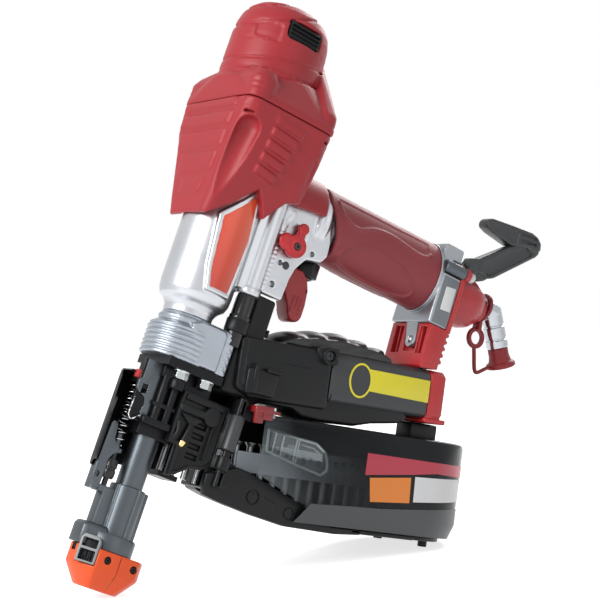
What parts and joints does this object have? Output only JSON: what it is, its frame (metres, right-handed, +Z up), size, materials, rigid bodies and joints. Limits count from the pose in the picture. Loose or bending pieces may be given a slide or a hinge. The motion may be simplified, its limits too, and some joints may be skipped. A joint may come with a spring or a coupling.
{
  "type": "pneumatic nail gun",
  "caption": "Coil-fed pneumatic fastener driver with moulded guards, rubber grip, magazine arm and round magazine, standing on its contact tip and magazine foot",
  "frame": {"origin": "centre of the contact tip's mouth, where the fastener leaves; the floor lies 4.5 mm below it", "axes": "standing as pictured on the tip and the magazine feet: +Z up, +X from the nose towards the air plug, +Y to the user's right; the barrel leans 23.9 degrees towards +X"},
  "size_m": [0.343, 0.111, 0.3409],
  "materials": {
    "red_guard": "soft moulded, fine grain",
    "red_grip": "soft rubber with a fine dimpled pattern",
    "red_plastic": "moulded, semi-gloss",
    "red_rubber": "soft matte",
    "black_plastic": "moulded, fine texture",
    "grey_plastic": "moulded, semi-gloss dark grey",
    "black_rubber": "soft matte",
    "black_steel": "black oxide, oiled",
    "cast_aluminium": "cast, satin",
    "aluminium": "turned",
    "steel": "ground",
    "spring_steel": "drawn wire",
    "zinc_steel": "zinc plated",
    "screw_steel": "phosphated, grey",
    "chrome": "polished chrome plate",
    "orange_plastic": "moulded, semi-gloss",
    "strip_plastic": "translucent nylon, drawn as opaque",
    "smoked_clear": "smoked clear polycarbonate",
    "clear_window": "clear polycarbonate"
  },
  "bodies": {
    "tool": {"top_guard": "red_guard", "lower_guard": "red_guard", "exhaust_grille": "black_plastic", "cylinder_cap": "cast_aluminium", "body_casting": "cast_aluminium", "cylinder_sleeve": "aluminium", "head_valve_spring": "spring_steel", "piston_bumper": "black_rubber", "motor_liner": "cast_aluminium", "motor_end_plates": "cast_aluminium", "nose_holder": "cast_aluminium", "hex_bolts": "zinc_steel", "driver_guide": "black_steel", "guide_tube": "steel", "feed_housing": "black_plastic", "feed_air_tube": "black_plastic", "door_rod": "steel", "return_spring": "spring_steel", "spring_guard": "black_steel", "housing_pins": "zinc_steel", "valve_cap": "black_plastic", "grip": "red_grip", "handle_end": "cast_aluminium", "rear_bracket": "red_plastic", "end_cover": "red_plastic", "hook_bolt": "zinc_steel", "arm_housing": "black_plastic", "arm_shell": "grey_plastic", "arm_end_cap": "red_plastic", "arm_guard": "black_rubber", "magazine_case": "black_plastic", "magazine_pins": "zinc_steel", "magazine_base": "black_plastic", "screw_coil": "screw_steel", "screw_strip": "strip_plastic"},
    "contact_arm": {"contact_sleeve": "black_steel", "contact_tip": "orange_plastic", "tip_screws": "zinc_steel", "link_plate": "black_steel"},
    "dial": {"adjuster_dial": "black_plastic"},
    "door": {"nose_door": "black_steel"},
    "cover": {"magazine_cover": "smoked_clear", "cover_window": "clear_window"},
    "latch": {"cover_latch": "red_plastic"},
    "tray": {"coil_tray": "black_plastic"},
    "feeder": {"feed_piston": "steel"},
    "ram": {"piston": "aluminium", "piston_seal": "black_rubber"},
    "driver": {"driver_shaft": "steel", "driver_bit": "steel"},
    "rotor": {"motor_rotor": "steel", "motor_vanes": "black_plastic"},
    "air_valve": {"head_valve": "black_plastic"},
    "trigger_lever": {"trigger": "red_plastic"},
    "stem": {"valve_stem": "steel"},
    "lock": {"lock_lever": "red_plastic"},
    "hook": {"belt_hook": "black_plastic"},
    "plug": {"air_plug": "chrome", "cap_strap": "red_rubber"},
    "plug_cap": {"dust_cap": "red_rubber"}
  },
  "joints": [
    {"name": "contact_slide", "type": "slide", "parent": "tool", "child": "contact_arm", "axis": [0.4046, 0, 0.9145], "range_m": [0, 0.028], "stiffness_N_per_m": 500, "springref_m": -0.05, "deforming": ["return_spring"]},
    {"name": "dial_turn", "type": "hinge", "parent": "contact_arm", "child": "dial", "pos_m": [-0.0039, 0, 0.02578], "axis": [0.4046, 0, 0.9145], "continuous": true},
    {"name": "door_swing", "type": "hinge", "parent": "tool", "child": "door", "pos_m": [0.07951, -0.019, 0.07417], "axis": [0.4046, 0, 0.9145], "range_deg": [0, 95]},
    {"name": "cover_swing", "type": "hinge", "parent": "tool", "child": "cover", "pos_m": [0.27168, 0.024, 0.02465], "axis": [0.2057, 0, 0.9786], "range_deg": [0, 95]},
    {"name": "latch_turn", "type": "hinge", "parent": "tool", "child": "latch", "pos_m": [0.11181, -0.0184, 0.09197], "axis": [0.2057, 0, 0.9786], "range_deg": [0, 25]},
    {"name": "tray_turn", "type": "hinge", "parent": "tool", "child": "tray", "pos_m": [0.21723, 0.024, 0.01259], "axis": [0.2057, 0, 0.9786], "continuous": true},
    {"name": "feed_stroke", "type": "slide", "parent": "tool", "child": "feeder", "axis": [0.9145, 0, -0.4046], "range_m": [0, 0.01], "stiffness_N_per_m": 300, "springref_m": -0.004},
    {"name": "driver_stroke", "type": "slide", "parent": "tool", "child": "ram", "axis": [-0.4046, 0, -0.9145], "range_m": [0, 0.084]},
    {"name": "rotor_spin", "type": "hinge", "parent": "tool", "child": "rotor", "pos_m": [0.12301, 0, 0.278], "axis": [0.4046, 0, 0.9145], "continuous": true},
    {"name": "bit_spin", "type": "hinge", "parent": "ram", "child": "driver", "pos_m": [0.04552, 0, 0.10288], "axis": [0.4046, 0, 0.9145], "continuous": true},
    {"name": "valve_lift", "type": "slide", "parent": "tool", "child": "air_valve", "axis": [0.4046, 0, 0.9145], "range_m": [0, 0.003], "stiffness_N_per_m": 2000, "springref_m": -0.004, "deforming": ["head_valve_spring"]},
    {"name": "trigger_pull", "type": "hinge", "parent": "tool", "child": "trigger_lever", "pos_m": [0.12368, 0, 0.17819], "axis": [0, -1, 0], "range_deg": [0, 10], "stiffness_Nm_per_rad": 0.6, "springref_deg": -14.32},
    {"name": "stem_push", "type": "slide", "parent": "tool", "child": "stem", "axis": [0.4046, 0, 0.9145], "range_m": [0, 0.0055]},
    {"name": "lock_turn", "type": "hinge", "parent": "tool", "child": "lock", "pos_m": [0.13082, -0.018, 0.18815], "axis": [0, 1, 0], "range_deg": [0, 55]},
    {"name": "hook_swing", "type": "hinge", "parent": "tool", "child": "hook", "pos_m": [0.26371, -0.012, 0.17091], "axis": [0.9145, 0, -0.4046], "range_deg": [-35, 75]},
    {"name": "plug_swivel", "type": "hinge", "parent": "tool", "child": "plug", "pos_m": [0.28575, 0, 0.14584], "axis": [0.9145, 0, -0.4046], "range_deg": [-60, 60]},
    {"name": "cap_pull", "type": "slide", "parent": "plug", "child": "plug_cap", "axis": [0.1931, 0, -0.9812], "range_m": [0, 0.02], "deforming": ["cap_strap"]}
  ],
  "couplings": [
    {"joint": "bit_spin", "follows": "rotor_spin", "ratio": 1},
    {"joint": "stem_push", "follows": "trigger_pull", "m_per_rad": 0.0285}
  ]
}
